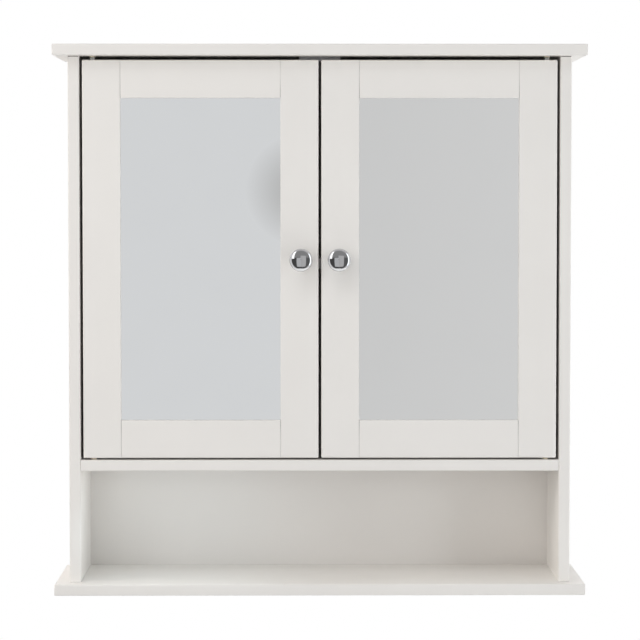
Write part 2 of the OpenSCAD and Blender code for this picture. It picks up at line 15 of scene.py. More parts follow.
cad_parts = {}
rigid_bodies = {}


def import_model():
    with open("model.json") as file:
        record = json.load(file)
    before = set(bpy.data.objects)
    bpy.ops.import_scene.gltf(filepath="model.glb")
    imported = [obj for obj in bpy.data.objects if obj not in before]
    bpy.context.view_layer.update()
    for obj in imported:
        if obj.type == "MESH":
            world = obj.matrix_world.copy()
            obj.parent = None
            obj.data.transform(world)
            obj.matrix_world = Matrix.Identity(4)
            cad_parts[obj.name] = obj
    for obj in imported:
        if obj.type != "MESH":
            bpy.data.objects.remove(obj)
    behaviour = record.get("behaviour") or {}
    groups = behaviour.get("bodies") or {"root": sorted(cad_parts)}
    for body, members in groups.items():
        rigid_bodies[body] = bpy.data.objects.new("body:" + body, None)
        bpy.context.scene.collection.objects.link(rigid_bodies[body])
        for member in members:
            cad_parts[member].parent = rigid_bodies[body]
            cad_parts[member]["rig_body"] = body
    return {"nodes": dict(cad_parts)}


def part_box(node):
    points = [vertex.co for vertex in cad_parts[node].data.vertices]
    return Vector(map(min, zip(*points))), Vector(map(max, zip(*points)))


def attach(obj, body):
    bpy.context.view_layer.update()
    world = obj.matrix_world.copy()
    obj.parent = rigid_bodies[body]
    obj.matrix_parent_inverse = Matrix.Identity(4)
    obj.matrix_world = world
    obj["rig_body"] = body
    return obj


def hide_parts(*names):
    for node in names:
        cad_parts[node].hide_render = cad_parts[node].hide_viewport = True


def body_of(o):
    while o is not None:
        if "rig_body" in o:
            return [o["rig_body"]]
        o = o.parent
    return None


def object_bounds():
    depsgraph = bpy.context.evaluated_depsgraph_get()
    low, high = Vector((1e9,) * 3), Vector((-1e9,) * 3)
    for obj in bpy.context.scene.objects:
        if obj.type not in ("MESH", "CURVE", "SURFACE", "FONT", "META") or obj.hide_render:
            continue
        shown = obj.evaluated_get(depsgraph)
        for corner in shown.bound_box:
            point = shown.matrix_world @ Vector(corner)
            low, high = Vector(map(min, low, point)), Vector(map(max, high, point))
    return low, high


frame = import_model()
CAD_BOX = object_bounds()

bl_info = {
    "name": "Hanging wall cabinet",
    "version": (1, 0, 0),
    "blender": (4, 5, 0),
    "location": "3D View > Sidebar > Cabinet",
    "description": "Finishes the boards, mirror doors, knobs and fittings of a hanging wall cabinet",
    "category": "Object",
}

HANDS = ("left", "right")
BOARDS = (
    "top_board", "bottom_board", "left_side", "right_side", "divider_shelf", "hanging_rail", "inner_shelf")
FRAME_PARTS = ("hinge_stile", "knob_stile", "top_rail", "bottom_rail")

LEFT, RIGHT, FRONT, WALL, UP = (
    Vector(way) for way in ((-1, 0, 0), (1, 0, 0), (0, -1, 0), (0, 1, 0), (0, 0, 1)))

WELD = 0.000001  # points closer than this are one point
TOUCH = 0.00001  # places closer than this are one place
FLAT_TURN = radians(0.5)  # faces that meet at less than this are one flat face
SHARP_TURN = radians(50)  # edges that turn more than this stay sharp in the shading
CUT_BACK_TURNS = (radians(40), radians(50))  # how far a cut-back edge turns from the face
SHORTEST_CUT_BACK = 0.002  # shorter edges than this aren't eased

SEED = 7  # for the loose turns of the fittings that are set out

ROOM_RADIUS = 3.3  # glowing dome that paints a dark room into reflections only
CARD_DISTANCE = 2.6  # glowing card behind the camera: painted light of a lit card in reflections
CARD_OUTLINE = ((-0.98, -1.84), (1.14, -1.84), (1.14, 0.765), (-0.08, 0.765), (-0.08, 0.27), (-0.98, 0.27))
CAMERA_SHADE = 0.12  # radius of the painted reflection of the dark camera in the mirrors
FLOOR_RADIUS = 2.0

# Each lamp's words, power, tint, turn to the right, rise, distance from the knobs, width and height
LAMPS = {
    "left": ("left soft box", 3.6, (1.0, 1.0, 1.0), -41, 25, 1.9, 0.48, 1.35),
    "right": ("right soft box", 4.6, (0.85, 0.94, 1.0), 52, 3, 1.9, 0.38, 2.2),
    "front": ("large light beside the camera", 6.0, (0.98, 0.99, 1.0), -12, 0, 2.3, 1.4, 1.0),
    "side": ("large light on the left", 10.3, (1.0, 0.93, 0.86), -78, 12, 1.5, 0.8, 1.2),
    "flank": ("large light on the right", 22.0, (1.0, 1.0, 1.0), 78, -16, 2.2, 1.0, 1.4),
    "top": ("large light above the camera", 13.0, (0.94, 0.97, 1.0), -20, 50, 3.2, 1.8, 1.2),
    "rear": ("large light behind the cabinet", 16.0, (1.0, 1.0, 1.0), 172, 20, 2.2, 1.4, 1.4),
    "above": ("light straight above", 6.0, (1.0, 1.0, 1.0), -30, 84, 2.2, 1.2, 0.9),
}
# Each niche lamp's words, power, tint and end of the niche
NICHE_LAMPS = {
    "niche_left": ("light let into the niche's left end", 0.0215, (0.72, 0.91, 1.0), -1),
    "niche_right": ("light let into the niche's right end", 0.0112, (0.88, 0.93, 0.92), 1),
}
NICHE_LAMP_GAP = 0.01  # before the sides' front edges
NICHE_LAMP_PLACE = (0.6, 0.1)  # shares of half the niche's width outwards, and of its height upwards
NICHE_LAMP_SIZE = (0.74, 0.75)  # shares of half the niche's width, and of its height
NICHE_LAMP_WAY = Vector((0, 1, -0.6))


# Settings

def length(name, description, default):
    return FloatProperty(
        name=name, description=description, default=default, min=0, unit="LENGTH", precision=5)


def factor(name, description, default):
    return FloatProperty(
        name=name, description=description, default=default, min=0, max=1, subtype="FACTOR")


def colour(name, description, default):
    return FloatVectorProperty(
        name=name, description=description, default=default, min=0, max=1, size=3, subtype="COLOR")


def power(name, description, default):
    return FloatProperty(name=name, description=description, default=default, min=0, unit="POWER")


class CabinetFinish(PropertyGroup):
    """Colours and surface sizes of the finishes"""

    paint: colour("Paint", "Colour of the satin paint", (0.890, 0.862, 0.828))
    paint_roughness: factor("Paint roughness", "Roughness of the satin paint", 0.36)
    stipple: length("Stipple", "Size of the fine stipple in the paint", 0.0009)
    joint_shade: factor("Joint shade", "Share of the paint's brightness left in the frames' joints", 0.72)
    seam_shade: factor("Seam shade", "Share of the paint's brightness left where boards meet", 0.08)
    # reach of the joints' painted shade beside the mirror
    joint_reach: length("Joint reach", "How far from the mirror the joints stay as dark as a seam", 0.022)
    lacquer: colour("Lacquer", "Colour of the hardboard's lacquered face", (0.890, 0.858, 0.825))
    hardboard: colour("Hardboard", "Colour of the hardboard's raw face", (0.270, 0.150, 0.068))
    screen_pitch: length("Screen pitch", "Pitch of the screen marks on the raw hardboard", 0.0016)
    silver: colour("Silver", "Colour of the mirrors' silvering", (0.900, 0.905, 0.905))
    chrome: colour("Chrome", "Colour of the knobs' plating", (0.560, 0.560, 0.570))
    nylon: colour("Nylon", "Colour of the hinge bushes", (0.830, 0.770, 0.600))


class CabinetSizes(PropertyGroup):
    """Sizes of the details that the frame leaves open"""

    round_share: factor("Rounding", "Share of each eased edge that is rounded over", 0.35)
    joint_cut: length("Joint cut", "Width below which a board's cut-back end counts as a joint", 0.0005)
    # its raw brown strip also stands in for the contact shadow at the niche's corners
    panel_arris: length("Panel arris", "Sawn edge that shows round the back panel", 0.0002)
    # the widened face keeps the seam paint: a painted shadow line under the top board
    top_seam: length("Top seam", "Open line over each side's front edge, under the top board", 0.0011)
    catch_slot: length("Catch slot", "Width of the slot between the catch's magnets", 0.007)
    catch_edge: length("Catch edge", "Rounding of the catch's moulded edges", 0.0003)
    arris: length("Arris", "Ground edge of the mirror glass", 0.0004)
    fitting_edge: length("Fitting edge", "Rounding of the small fittings' edges", 0.00015)
    knob_face: length("Knob face", "Diameter of the knob's domed face", 0.0186)
    knob_dome: length("Knob dome", "Height of the knob's dome over its rim", 0.0018)
    knob_rim: length("Knob rim", "Radius of the rounding round the knob's rim", 0.0026)
    knob_lean: FloatProperty(
        name="Knob lean", description="Slope of the rim where its rounding starts",
        default=radians(30), min=0, subtype="ANGLE")
    knob_band: length("Knob band", "Height of the straight band under the rim", 0.0008)
    knob_head: length("Knob head", "Height of the flared part of the knob", 0.00935)
    knob_flare: length("Knob flare", "Radius of the curve from the knob's neck to its head", 0.004)
    knob_neck: length("Knob neck", "Diameter of the knob's neck", 0.009)
    knob_foot: length("Knob foot", "Diameter of the knob's foot", 0.013)
    foot_round: length("Foot rounding", "Radius of the roundings at the knob's foot", 0.0008)
    turning_steps: IntProperty(
        name="Turning steps", description="Steps round the knobs", default=128, min=24, max=256)


class CabinetStudio(PropertyGroup):
    """Camera, lamps and surroundings"""

    camera_distance: length("Camera distance", "Distance of the camera from the boards' front", 2.387)
    camera_offset: length("Camera offset", "How far left of the middle the camera stands", 0.0187)
    camera_rise: length("Camera rise", "Height of the camera over the cabinet's middle", 0.137)
    aim_rise: length("Aim rise", "Height of the aimed point over the cabinet's middle", 0.0347)
    lens: FloatProperty(name="Lens", description="Focal length in millimetres", default=128.2, min=20)
    shift: FloatProperty(
        name="Shift", description="Upright shift of the lens", default=-0.05, min=-1, max=1)
    fill: FloatProperty(
        name="Fill", description="Strength of the even light from all round", default=0.33, min=0)
    fill_tint: colour("Fill tint", "Colour of the even light from all round", (1.0, 1.0, 1.0))
    floor_drop: length("Floor drop", "Height of the cabinet over the floor", 1.35)


for lamp, (words, watts, tint, *_) in {**LAMPS, **NICHE_LAMPS}.items():
    title = lamp.replace("_", " ").capitalize()
    CabinetStudio.__annotations__.update({
        f"{lamp}_power": power(f"{title} power", f"Power of the {words}", watts),
        f"{lamp}_tint": colour(f"{title} tint", f"Colour of the {words}", tint),
    })


def finish():
    return bpy.context.scene.cabinet_finish


def sizes():
    return bpy.context.scene.cabinet_sizes


def studio():
    return bpy.context.scene.cabinet_studio


# Node trees

def add(tree, kind, inputs=None, **options):
    """New node with its options set, and each named input joined to a socket or given a value."""
    node = tree.nodes.new(kind)
    for option, value in options.items():
        setattr(node, option, value)
    for name, value in (inputs or {}).items():
        if isinstance(value, NodeSocket):
            tree.links.new(value, node.inputs[name])
        else:
            node.inputs[name].default_value = value
    return node


def maths(tree, operation, *values):
    return add(tree, "ShaderNodeMath", dict(enumerate(values)), operation=operation).outputs[0]


def spread(tree, value, low, high, to_low=0.0, to_high=1.0):
    """Value between low and high turned into one between to_low and to_high, and held there."""
    return add(tree, "ShaderNodeMapRange", {
        "Value": value, "From Min": low, "From Max": high, "To Min": to_low, "To Max": to_high,
    }).outputs["Result"]


def blended(tree, mask, first, second):
    """Colour that goes from the first to the second as the mask rises."""
    ends = [end if isinstance(end, NodeSocket) else (*end, 1.0) for end in (first, second)]
    return add(tree, "ShaderNodeMix", {0: mask, 6: ends[0], 7: ends[1]}, data_type="RGBA").outputs[2]


def noise(tree, where, size, detail=2.0, roughness=0.5, times=1.0):
    """Noise with this many features in the given size."""
    return add(tree, "ShaderNodeTexNoise", {
        "Vector": where, "Scale": maths(tree, "DIVIDE", times, size),
        "Detail": detail, "Roughness": roughness,
    }).outputs["Fac"]


def place_on_object(tree):
    return tree.nodes.new("ShaderNodeTexCoord").outputs["Object"]


def axes_of(tree, vector):
    return add(tree, "ShaderNodeSeparateXYZ", {"Vector": vector}).outputs


def darker(shade, share):
    return tuple(c * share for c in shade)


def sprayed_film(tree, given):
    """A fine stipple on long low waves, and broad clouds in the paint's shade."""
    fine = noise(tree, given["Vector"], given["Stipple"], 3.0)
    waves = noise(tree, given["Vector"], given["Stipple"], 1.0, times=0.12)
    clouds = noise(tree, given["Vector"], given["Cloud"])
    return {
        "Height": maths(tree, "MULTIPLY_ADD", waves, 2.0, fine),
        "Clouds": spread(tree, clouds, 0.3, 0.7)}


def fine_grain(tree, given):
    """Cast or moulded grain: small pits, and grains that differ in shade."""
    scale = maths(tree, "DIVIDE", 1.0, given["Grain"])
    cells = add(tree, "ShaderNodeTexVoronoi", {"Vector": given["Vector"], "Scale": scale}, feature="F1")
    return {
        "Height": noise(tree, given["Vector"], given["Grain"], 4.0, 0.6),
        "Speckle": spread(tree, cells.outputs["Distance"], 0.1, 0.7)}


def streaked(tree, given):
    """Fine streaks that run the ways in which the vector is squeezed."""
    ends = {0: given["Vector"], 1: given["Squeeze"]}
    squeezed = add(tree, "ShaderNodeVectorMath", ends, operation="MULTIPLY").outputs[0]
    lines = noise(tree, squeezed, given["Streak"], 3.0, 0.65)
    return {"Height": lines, "Streaks": spread(tree, lines, 0.35, 0.65)}


def touch_marks(tree, given):
    """Where hands and cloths have been: soft smears of about one size."""
    broad = noise(tree, given["Vector"], given["Smear"])
    fine = noise(tree, given["Vector"], given["Smear"], 4.0, 0.7, times=9.0)
    return {"Marks": maths(tree, "MULTIPLY", spread(tree, broad, 0.45, 0.75), fine)}


def press_screen(tree, given):
    """Marks of the press's wire screen, with the wood fibres between them."""
    turns = maths(tree, "DIVIDE", tau, given["Pitch"])
    axes = axes_of(tree, given["Vector"])
    threads = [maths(tree, "SINE", maths(tree, "MULTIPLY", axes[axis], turns)) for axis in ("X", "Z")]
    weave = maths(tree, "MULTIPLY", *threads)
    fibres = noise(tree, given["Vector"], given["Pitch"], 6.0, 0.7, times=0.9)
    return {
        "Height": maths(tree, "MULTIPLY_ADD", fibres, 1.5, weave),
        "Fibres": spread(tree, fibres, 0.35, 0.68)}


def settled_dust(tree, given):
    """Thin dust on what faces up, broken into patches."""
    facing = axes_of(tree, add(tree, "ShaderNodeNewGeometry").outputs["Normal"])["Z"]
    patches = noise(tree, given["Vector"], given["Patch"], 5.0, 0.6)
    dust = maths(tree, "MULTIPLY", spread(tree, facing, 0.5, 0.95), spread(tree, patches, 0.25, 0.75))
    return {"Dust": dust}


EFFECTS = {
    "Sprayed film": (sprayed_film, {"Stipple": 0.001, "Cloud": 0.08}),
    "Fine grain": (fine_grain, {"Grain": 0.0006}),
    "Streaks": (streaked, {"Squeeze": None, "Streak": 0.0004}),
    "Touch marks": (touch_marks, {"Smear": 0.03}),
    "Press screen": (press_screen, {"Pitch": 0.0016}),
    "Settled dust": (settled_dust, {"Patch": 0.05}),
}


def effect_group(name):
    """Shader node group of a shared effect. An input with no default takes a vector."""
    make, inputs = EFFECTS[name]
    tree = bpy.data.node_groups.new(name, "ShaderNodeTree")
    for socket, default in {"Vector": None, **inputs}.items():
        kind = "NodeSocketVector" if default is None else "NodeSocketFloat"
        made = tree.interface.new_socket(socket, in_out="INPUT", socket_type=kind)
        if default is not None:
            made.default_value = default
    results = make(tree, tree.nodes.new("NodeGroupInput").outputs)
    for socket in results:
        tree.interface.new_socket(socket, in_out="OUTPUT", socket_type="NodeSocketFloat")
    add(tree, "NodeGroupOutput", results)
    return tree


# Materials

class Finish:
    """A material's Principled shader with the effects that feed it."""

    def __init__(self, name, plain=None):
        """New material, its shader given these plain values."""
        self.material = bpy.data.materials.new(name)
        self.material.use_nodes = True
        self.tree = self.material.node_tree
        self.shader = self.tree.nodes["Principled BSDF"]
        self.where = place_on_object(self.tree)
        for socket, value in (plain or {}).items():
            self.shader.inputs[socket].default_value = value

    def effect(self, name, **values):
        """Outputs of a shared effect placed in this material."""
        group = bpy.data.node_groups.get(name) or effect_group(name)
        inputs = {"Vector": self.where, **values}
        return add(self.tree, "ShaderNodeGroup", inputs, node_tree=group).outputs

    def shade(self, mask, first, second):
        colours = blended(self.tree, mask, first, second)
        self.tree.links.new(colours, self.shader.inputs["Base Color"])

    def roughness(self, mask, low, high):
        self.tree.links.new(spread(self.tree, mask, 0, 1, low, high), self.shader.inputs["Roughness"])

    def relief(self, height, depth):
        """Bump of the given depth in metres."""
        bump = add(self.tree, "ShaderNodeBump", {"Height": height, "Distance": depth, "Strength": 1.0})
        self.tree.links.new(bump.outputs["Normal"], self.shader.inputs["Normal"])


def patterned(name, plain, shades, roughness, depth, effect, **values):
    """Material whose shade, roughness and relief all follow one effect."""
    made = Finish(name, plain)
    height, mask = made.effect(effect, **values)
    made.shade(mask, *shades)
    made.roughness(mask, *roughness)
    made.relief(height, depth)
    return made.material


def paint(name="Satin paint", share=1.0, roughness=None):
    """Sprayed satin paint on a board."""
    made = Finish(name, {"IOR": 1.5})
    shade = darker(finish().paint, share)
    film = made.effect("Sprayed film", Stipple=finish().stipple)
    dust = made.effect("Settled dust")["Dust"]
    marks = made.effect("Touch marks", Smear=0.06)["Marks"]
    dusty, dust_share, wear, film_depth = (0.55, 0.53, 0.50), 0.05, 0.14, 0.000012
    clouded = blended(made.tree, film["Clouds"], darker(shade, 0.988), darker(shade, 1.006))
    made.shade(maths(made.tree, "MULTIPLY", dust, dust_share), clouded, dusty)
    satin = roughness or finish().paint_roughness
    made.roughness(maths(made.tree, "MAXIMUM", marks, dust), satin, satin + wear)
    made.relief(film["Height"], film_depth)
    return made.material


def paint_edge():
    """Paint on the eased edges, where the film is thinner and a little rougher."""
    return paint("Satin paint on edges", 0.985, finish().paint_roughness + 0.06)


def paint_joint_shade():
    """Paint on the rails' ends that meet the stiles: dust and painted shade in the joint, darkest beside
    the mirror.
    """
    joint = paint("Satin paint in joints", finish().joint_shade, finish().paint_roughness + 0.2)
    tree = joint.node_tree
    base = tree.nodes["Principled BSDF"].inputs["Base Color"]
    painted = base.links[0].from_socket
    low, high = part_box("left_bottom_rail")[1].z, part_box("left_top_rail")[0].z
    height = axes_of(tree, place_on_object(tree))["Z"]
    away = maths(tree, "ABSOLUTE", maths(tree, "SUBTRACT", height, (low + high) / 2))
    opening = (high - low) / 2
    # painted shade: the joint darkens to the seam's near-black paint beside the mirror opening
    beside = spread(tree, away, opening, opening + finish().joint_reach, 1.0, 0.0)
    tree.links.new(blended(tree, beside, painted, darker(finish().paint, finish().seam_shade)), base)
    return joint


def paint_seam_shade():
    """Ends of the boards that meet another board: painted shade in the seam, nearly black, with a little
    dust.
    """
    return paint("Satin paint in seams", finish().seam_shade, finish().paint_roughness + 0.3)


def lacquer():
    """Smooth lacquered face of the hardboard."""
    made = Finish("White lacquer", {"IOR": 1.5})
    film = made.effect("Sprayed film", Stipple=finish().stipple * 1.6, Cloud=0.12)
    made.shade(film["Clouds"], darker(finish().lacquer, 0.985), finish().lacquer)
    made.roughness(made.effect("Touch marks", Smear=0.08)["Marks"], 0.38, 0.55)
    made.relief(film["Height"], 0.00001)
    return made.material


def raw_hardboard():
    """Raw rear face and edges of the hardboard."""
    made = Finish("Raw hardboard", {"IOR": 1.45})
    screen = made.effect("Press screen", Pitch=finish().screen_pitch)
    brown = finish().hardboard
    fibres = blended(made.tree, screen["Fibres"], darker(brown, 0.72), darker(brown, 1.25))
    made.shade(made.effect("Touch marks", Smear=0.12)["Marks"], fibres, darker(brown, 0.85))
    made.roughness(screen["Fibres"], 0.72, 0.9)
    made.relief(screen["Height"], 0.00006)
    return made.material


def silvered_glass():
    """Polished front of the mirror: silvering under clear glass."""
    glass = {"Metallic": 1.0, "Coat Weight": 1.0, "Coat Roughness": 0.0, "Coat IOR": 1.5}
    made = Finish("Silvered glass", glass)
    marks = made.effect("Touch marks", Smear=0.05)["Marks"]
    made.shade(marks, finish().silver, darker(finish().silver, 0.985))
    made.roughness(marks, 0.008, 0.05)
    return made.material


def glass_edge():
    """Ground edge of the mirror glass."""
    return patterned(
        "Ground glass edge", {"IOR": 1.5, "Transmission Weight": 0.35},
        ((0.30, 0.46, 0.40), (0.52, 0.66, 0.60)), (0.3, 0.5), 0.00002, "Fine grain", Grain=0.0003)


def mirror_backing():
    """Protective paint behind the silvering."""
    return patterned(
        "Mirror backing", {"IOR": 1.45}, ((0.060, 0.066, 0.075), (0.085, 0.092, 0.102)),
        (0.5, 0.62), 0.00002, "Sprayed film", Stipple=0.0014)


def chrome():
    """Polished chrome plate."""
    made = Finish("Chrome plate", {"Metallic": 1.0})
    marks = made.effect("Touch marks", Smear=0.012)["Marks"]
    made.shade(marks, finish().chrome, darker(finish().chrome, 0.96))
    made.roughness(marks, 0.035, 0.11)
    made.relief(made.effect("Sprayed film", Stipple=0.002, Cloud=0.02)["Height"], 0.0000006)
    return made.material


def nickel(name="Nickel plate", share=1.0, squeeze=(1.0, 1.0, 0.06)):
    """Nickel plate on punched steel, brushed along one way."""
    shades = [darker(shade, share) for shade in ((0.56, 0.55, 0.52), (0.66, 0.65, 0.62))]
    return patterned(
        name, {"Metallic": 1.0}, shades, (0.2, 0.32), 0.000003, "Streaks", Squeeze=squeeze, Streak=0.0003)


def pin_steel():
    """Bright steel of the pivot pins, with the marks of their turning."""
    return nickel("Turned steel", 0.6, (0.06, 0.06, 1.0))


def zinc():
    """Bright zinc plate on screws, nails and castings."""
    return patterned(
        "Zinc plate", {"Metallic": 1.0}, ((0.50, 0.50, 0.49), (0.63, 0.64, 0.64)),
        (0.3, 0.46), 0.000012, "Fine grain", Grain=0.0005)


def nylon():
    """Natural nylon of the hinge bushes."""
    return patterned(
        "Natural nylon", {"IOR": 1.53, "Subsurface Weight": 0.15, "Subsurface Scale": 0.001},
        (darker(finish().nylon, 0.95), finish().nylon), (0.4, 0.5), 0.000006, "Fine grain", Grain=0.0004)


def catch_plastic():
    """Pale grey moulded plastic with a fine spark grain."""
    return patterned(
        "Grey plastic", {"IOR": 1.5}, ((0.42, 0.415, 0.43), (0.48, 0.475, 0.49)),
        (0.45, 0.56), 0.00002, "Fine grain", Grain=0.0005)


def ferrite():
    """Sintered ferrite of the magnets."""
    return patterned(
        "Ferrite", {"IOR": 1.8}, ((0.022, 0.021, 0.021), (0.055, 0.053, 0.052)),
        (0.55, 0.72), 0.00002, "Fine grain", Grain=0.00035)


def beech():
    """Beech of the dowels, its grain along them."""
    return patterned(
        "Beech", {"IOR": 1.45}, ((0.50, 0.31, 0.17), (0.66, 0.45, 0.27)),
        (0.55, 0.7), 0.00003, "Streaks", Squeeze=(0.25, 1.0, 0.25), Streak=0.0007)


def material(make):
    """The material that this function makes, made once."""
    known = bpy.context.scene.get("cabinet_materials", {})
    if make.__name__ not in known:
        known = {**known, make.__name__: make().name}
        bpy.context.scene["cabinet_materials"] = known
    return bpy.data.materials[known[make.__name__]]


# Shapes

def merged(node):
    """Mesh of a CAD node with its loose triangles joined into whole flat faces."""
    mesh = bmesh.new()
    mesh.from_mesh(frame["nodes"][node].data)
    bmesh.ops.remove_doubles(mesh, verts=mesh.verts, dist=WELD)
    bmesh.ops.dissolve_limit(
        mesh, angle_limit=FLAT_TURN, verts=mesh.verts, edges=mesh.edges, delimit={"NORMAL"})
    for face in mesh.faces:
        face.material_index = 0
    return mesh


def middle(box):
    return (box[0] + box[1]) / 2


def solids(node):
    """Box of each separate solid of a CAD node, in a fixed order."""
    mesh = merged(node)
    waiting = set(mesh.verts)
    boxes = []
    while waiting:
        reached = [waiting.pop()]
        for vert in reached:
            near = {edge.other_vert(vert) for edge in vert.link_edges} & waiting
            waiting -= near
            reached += near
        columns = list(zip(*(vert.co for vert in reached)))
        boxes.append((Vector(map(min, columns)), Vector(map(max, columns))))
    mesh.free()
    return sorted(boxes, key=lambda box: [round(c, 5) for c in box[0]])


def in_scene(name, data):
    """New object in the scene."""
    made = bpy.data.objects.new(name, data)
    bpy.context.scene.collection.objects.link(made)
    return made


def plain_mesh(name, mesh):
    """Mesh data of a bmesh, which is freed."""
    data = bpy.data.meshes.new(name)
    mesh.to_mesh(data)
    mesh.free()
    return data


def as_object(name, mesh, *makers):
    """New object from a bmesh, smooth but for its sharp edges, with these materials."""
    for face in mesh.faces:
        face.smooth = True
    for edge in mesh.edges:
        edge.smooth = len(edge.link_faces) == 2 and edge.calc_face_angle() < SHARP_TURN
    made = in_scene(name, plain_mesh(name, mesh))
    for make in makers:
        made.data.materials.append(material(make))
    return made


def modify(piece, name, kind, **options):
    """New modifier on the piece with its options set."""
    modifier = piece.modifiers.new(name, kind)
    for option, value in options.items():
        setattr(modifier, option, value)
    return modifier


def soften(piece):
    """Shading that keeps the broad faces flat and rolls over the narrow ones."""
    modify(piece, "Soft edges", "WEIGHTED_NORMAL", keep_sharp=True, weight=100)


def settle(piece, node):
    """The piece rides with its CAD node's body and stands for the node, which is hidden."""
    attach(piece, body_of(frame["nodes"][node])[0])
    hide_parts(node)


def is_eased(edge):
    """True for a long edge between a board's face and its cut-back edge."""
    least, most = CUT_BACK_TURNS
    return (len(edge.link_faces) == 2 and edge.calc_length() > SHORTEST_CUT_BACK
            and least < edge.calc_face_angle() < most)


def widen_painted_seam(mesh, front, level, width):
    """Widens the cut-back at the top of an upright board's front edge, whose near-black seam paint then
    shows as a painted shadow line under the top board.
    """
    for vert in mesh.verts:
        if abs(vert.co.y - front) < TOUCH and abs(vert.co.z - level) < sizes().joint_cut:
            vert.co.z = level - width


def painted_part(node, end_paint, tight_ends=False):
    """Board or frame part: its cut-back edges rounded and painted thinner, its joints in a darker paint
    that holds painted shade.

    Tight ends aren't rounded, so that a joint's dark line keeps its width.
    """
    mesh = merged(node)
    lo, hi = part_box(node)
    along = max(range(3), key=lambda i: (hi - lo)[i])
    share = mesh.edges.layers.float.new("bevel_weight_edge")
    cuts = {}
    for face in mesh.faces:
        eased = [edge for edge in face.edges if is_eased(edge)]
        if eased and max(abs(c) for c in face.normal) < 0.9:
            width = face.calc_area() / max(edge.calc_length() for edge in eased)
            is_joint = width < sizes().joint_cut and abs(face.normal[along]) > 0.5
            # joint faces take the end paint, whose darkness is painted shade in the joint
            face.material_index = 2 if is_joint else 1
            if not (is_joint and tight_ends):
                cuts.update({edge: width for edge in eased})
    widest = max(cuts.values(), default=0.001)
    for edge, width in cuts.items():
        edge[share] = width / widest
    if node.endswith("_side"):
        widen_painted_seam(mesh, lo.y, hi.z, sizes().top_seam)
    piece = as_object(f"{node}_painted", mesh, paint, paint_edge, end_paint)
    modify(
        piece, "Rounding", "BEVEL", limit_method="WEIGHT", width=widest * sizes().round_share,
        segments=2, material=1, use_clamp_overlap=False)
    soften(piece)
    settle(piece, node)


def fitting(node, make, edge=None, mesh=None):
    """Small fitting with its sharp edges rounded: the CAD node's shape, or a mesh of its own."""
    piece = as_object(f"{node}_finished", mesh or merged(node), make)
    modify(
        piece, "Rounding", "BEVEL", limit_method="ANGLE", angle_limit=radians(60),
        width=edge or sizes().fitting_edge, segments=2)
    soften(piece)
    settle(piece, node)
    return piece


def block(lo, hi):
    """Block between two corners, as a bmesh."""
    mesh = bmesh.new()
    bmesh.ops.create_cube(mesh, size=1.0)
    spread_out = Matrix.Translation((lo + hi) / 2) @ Matrix.Diagonal((*(hi - lo), 1.0))
    bmesh.ops.transform(mesh, verts=mesh.verts, matrix=spread_out)
    return mesh


def pane(node, ending, slot, arris, *finishes):
    """Flat pane with its edges ground, and a finish each for its front, back and edges."""
    mesh = block(*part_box(node))
    bmesh.ops.bevel(mesh, geom=mesh.edges[:], offset=arris, segments=2, profile=0.5, affect="EDGES")
    for face in mesh.faces:
        face.material_index = 0 if face.normal.y < -0.99 else 1 if face.normal.y > 0.99 else 2
    piece = as_object(f"{node}_{ending}", mesh, *finishes)
    soften(piece)
    settle(piece, node)


def arc(centre, radius, start, end, steps):
    """Points of an arc between two angles in degrees."""
    turns = [radians(start + (end - start) * i / steps) for i in range(steps + 1)]
    return [(centre[0] + radius * cos(t), centre[1] + radius * sin(t)) for t in turns]


def turned(profile, steps, ripple=1.0):
    """Solid turned about Z from its profile of (radius, height). Ripple pulls every other step in."""
    mesh = bmesh.new()
    rings = []
    for radius, height in profile:
        if radius < WELD:
            rings.append([mesh.verts.new((0, 0, height))])
            continue
        ring = []
        for i in range(steps):
            out, turn = radius * (ripple if i % 2 else 1), tau * i / steps
            ring.append(mesh.verts.new((out * cos(turn), out * sin(turn), height)))
        rings.append(ring)
    for one, two in zip(rings, rings[1:]):
        for i in range(steps):
            j = (i + 1) % steps
            around = (one[i % len(one)], one[j % len(one)], two[j % len(two)], two[i % len(two)])
            mesh.faces.new(list(dict.fromkeys(around)))
    bmesh.ops.recalc_face_normals(mesh, faces=mesh.faces)
    return mesh


def face_front(mesh, place):
    """Turns a shape made about Z to face the front, and stands it at the place."""
    stood = Matrix.Translation(place) @ Matrix.Rotation(pi / 2, 4, "X")
    bmesh.ops.transform(mesh, matrix=stood, verts=mesh.verts)


def evaluated_mesh(piece):
    """Plain mesh of an object with its modifiers applied."""
    result = piece.evaluated_get(bpy.context.evaluated_depsgraph_get())
    return bpy.data.meshes.new_from_object(result)


def carved(blank, cutter):
    """Plain mesh of a blank with a cutter taken out of it."""
    body, tool = as_object("blank", blank), as_object("cutter", cutter)
    modify(
        body, "Cut", "BOOLEAN", object=tool, operation="DIFFERENCE", solver="EXACT", use_self=True)
    data = evaluated_mesh(body)
    for spare in (body, tool):
        bpy.data.objects.remove(spare)
    return data


def crossed(blank, reach, width, depth):
    """Turned blank with a tapered cross recess cut into its face at Z = 0."""
    cutter = bmesh.new()
    for turn in (0, pi / 2):
        arm = bmesh.ops.create_cube(cutter, size=1.0)["verts"]
        for vert in arm:
            taper = 0.55 if vert.co.z > 0 else 1.0
            vert.co = (vert.co.x * 2 * reach * taper, vert.co.y * width * taper, vert.co.z * 2 * depth)
        bmesh.ops.rotate(cutter, verts=arm, cent=(0, 0, 0), matrix=Matrix.Rotation(turn, 3, "Z"))
    return carved(blank, cutter)


def countersunk_blank(head, reach):
    """Countersunk screw: its face at Z = 0 and its point along +Z."""
    shank, lip = head / 1.9, head * 0.03
    cone = (head - shank) / 2
    profile = [
        (0, 0.0), (head * 0.3, 0.0), (head / 2 - lip, 0.0), (head / 2, lip), (shank / 2, cone + lip),
        (shank / 2, reach - shank), (shank * 0.36, reach - shank * 0.5), (0, reach)]
    return crossed(turned(profile, 32), head * 0.3, shank / 4, head * 0.26)


